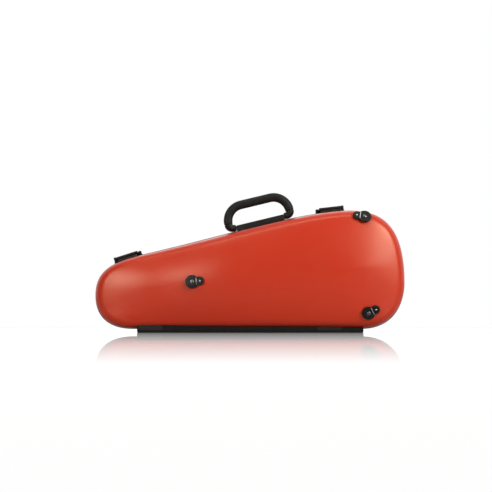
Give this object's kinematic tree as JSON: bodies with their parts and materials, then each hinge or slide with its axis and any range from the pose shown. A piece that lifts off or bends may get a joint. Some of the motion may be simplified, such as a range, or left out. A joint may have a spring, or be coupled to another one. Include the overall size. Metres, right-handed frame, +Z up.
{
  "type": "violin case",
  "caption": "Hard-shell violin case that stands on its long side, with a hinged lid, snap latches, a folding loop handle, swivelling strap fittings and a fitted velour interior.",
  "frame": {"origin": "centre of the overall box, at floor level, with the case standing on its foot rails; the parting plane between base and lid is y = 0", "axes": "+X towards the wide body end, +Z up through the handle, -Y out of the base shell's face, +Y out of the lid"},
  "size_m": [0.6304, 0.1581, 0.284],
  "materials": {
    "shell_lacquer": "satin orange-red lacquer on a moulded composite shell",
    "rim_rubber": "matte black moulded rim",
    "foot_rubber": "matte black rubber",
    "velour": "charcoal velour over foam",
    "webbing": "black woven webbing",
    "hinge_black": "black powder coat",
    "handle_black": "satin black moulded plastic",
    "grip_rubber": "smooth black rubber sleeve",
    "latch_black": "satin black coat",
    "fitting_black": "satin black moulded plastic",
    "steel": "plain steel"
  },
  "bodies": {
    "base": {"base_shell": "shell_lacquer", "base_rim": "rim_rubber", "base_bed": "velour", "lower_back_cushion": "velour", "upper_back_cushion": "velour", "neck_rest": "velour", "neck_strap": "webbing", "hinge_base_neck": "hinge_black", "hinge_base_body": "hinge_black", "hinge_pin_neck": "steel", "hinge_pin_body": "steel", "foot_rail_base": "foot_rubber", "handle_base": "handle_black", "handle_pin_neck": "steel", "handle_pin_body": "steel", "latch_keeper_neck": "latch_black", "latch_keeper_body": "latch_black", "strap_post_neck": "fitting_black", "strap_post_upper": "fitting_black", "strap_post_lower": "fitting_black", "strap_screw_neck": "steel", "strap_screw_upper": "steel", "strap_screw_lower": "steel"},
    "lid": {"lid_shell": "shell_lacquer", "lid_rim": "rim_rubber", "lid_seal": "rim_rubber", "lid_lining": "velour", "hinge_lid_neck": "hinge_black", "hinge_lid_body": "hinge_black", "foot_rail_lid": "foot_rubber", "latch_bracket_neck": "latch_black", "latch_bracket_body": "latch_black", "latch_pin_neck": "steel", "latch_pin_body": "steel"},
    "neck_latch": {"latch_lever_neck": "latch_black"},
    "body_latch": {"latch_lever_body": "latch_black"},
    "handle": {"handle_bow": "handle_black", "handle_grip": "grip_rubber"},
    "neck_strap_ear": {"strap_ear_neck": "fitting_black", "strap_bar_neck": "steel"},
    "upper_strap_ear": {"strap_ear_upper": "fitting_black", "strap_bar_upper": "steel"},
    "lower_strap_ear": {"strap_ear_lower": "fitting_black", "strap_bar_lower": "steel"},
    "flap": {"accessory_flap": "velour"}
  },
  "joints": [
    {"name": "lid_hinge", "type": "hinge", "parent": "base", "child": "lid", "pos_m": [0, 0, 0.0044], "axis": [-1, 0, 0], "range_deg": [0, 100]},
    {"name": "neck_latch_lever", "type": "hinge", "parent": "lid", "child": "neck_latch", "pos_m": [-0.25064, 0.013, 0.15636], "axis": [-0.9516, 0, -0.3073], "range_deg": [0, 110]},
    {"name": "body_latch_lever", "type": "hinge", "parent": "lid", "child": "body_latch", "pos_m": [0.16471, 0.013, 0.25284], "axis": [-0.9937, 0, -0.1121], "range_deg": [0, 110]},
    {"name": "handle_fold", "type": "hinge", "parent": "base", "child": "handle", "pos_m": [0.02123, -0.02, 0.22468], "axis": [0.9721, 0, 0.2346], "range_deg": [-70, 70]},
    {"name": "neck_ear_swivel", "type": "hinge", "parent": "base", "child": "neck_strap_ear", "pos_m": [-0.1145, -0.06954, 0.1009], "axis": [-0.1157, -0.9896, 0.0854], "continuous": true},
    {"name": "upper_ear_swivel", "type": "hinge", "parent": "base", "child": "upper_strap_ear", "pos_m": [0.23, -0.05722, 0.2305], "axis": [0.0415, -0.8729, 0.4861], "continuous": true},
    {"name": "lower_ear_swivel", "type": "hinge", "parent": "base", "child": "lower_strap_ear", "pos_m": [0.236, -0.06177, 0.0397], "axis": [0.0376, -0.973, -0.2279], "continuous": true},
    {"name": "flap_hinge", "type": "hinge", "parent": "base", "child": "flap", "pos_m": [-0.152, -0.0093, 0.0575], "axis": [1, 0, 0], "range_deg": [0, 100]}
  ]
}
